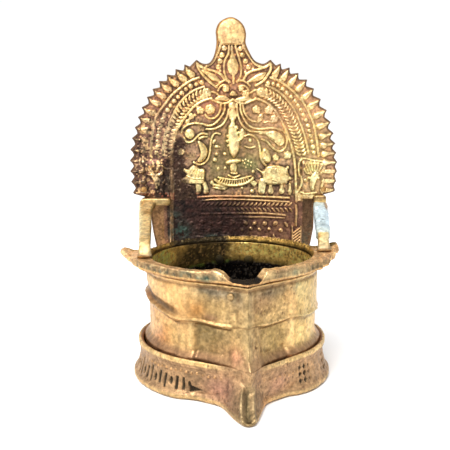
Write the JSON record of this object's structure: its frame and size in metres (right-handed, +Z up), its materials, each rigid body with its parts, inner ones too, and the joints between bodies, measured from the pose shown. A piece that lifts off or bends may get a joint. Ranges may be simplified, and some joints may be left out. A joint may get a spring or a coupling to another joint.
{
  "type": "diya oil lamp",
  "caption": "Cast brass oil lamp: round bowl with a keeled front and wick notch on a flared plinth, with an arched relief plate braced by struts behind it.",
  "frame": {"origin": "on the ground under the bowl's axis", "axes": "+Z up, -Y towards the lamp's front where the wick notch and beak are, +X to the lamp's right as seen from the front"},
  "size_m": [0.1167, 0.1279, 0.18],
  "materials": {
    "cast_brass": "old cast brass, bright gold on the left, olive patina at the front",
    "rim_brass": "worn brass with dents and grey-green patina",
    "plinth_brass": "old brass, pinkish brown band with dark recesses",
    "plate_brass": "relief brass, worn bright on the raised parts, dark purple-brown in the recesses, soot at the left",
    "strut_brass": "worn brass bar",
    "solder": "matt silver-white solder coat with dark pits",
    "rivet_brass": "worn brass rivet"
  },
  "bodies": {
    "root": {"oil_bowl": "cast_brass", "rim_flange": "rim_brass", "base_plinth": "plinth_brass", "back_plate": "plate_brass", "left_strut": "strut_brass", "right_strut": "strut_brass", "solder_sleeve": "solder", "front_rivet": "rivet_brass", "plate_rivet_left": "rivet_brass", "plate_rivet_right": "rivet_brass", "strut_rivet_left": "rivet_brass", "strut_rivet_right": "rivet_brass"}
  },
  "joints": []
}
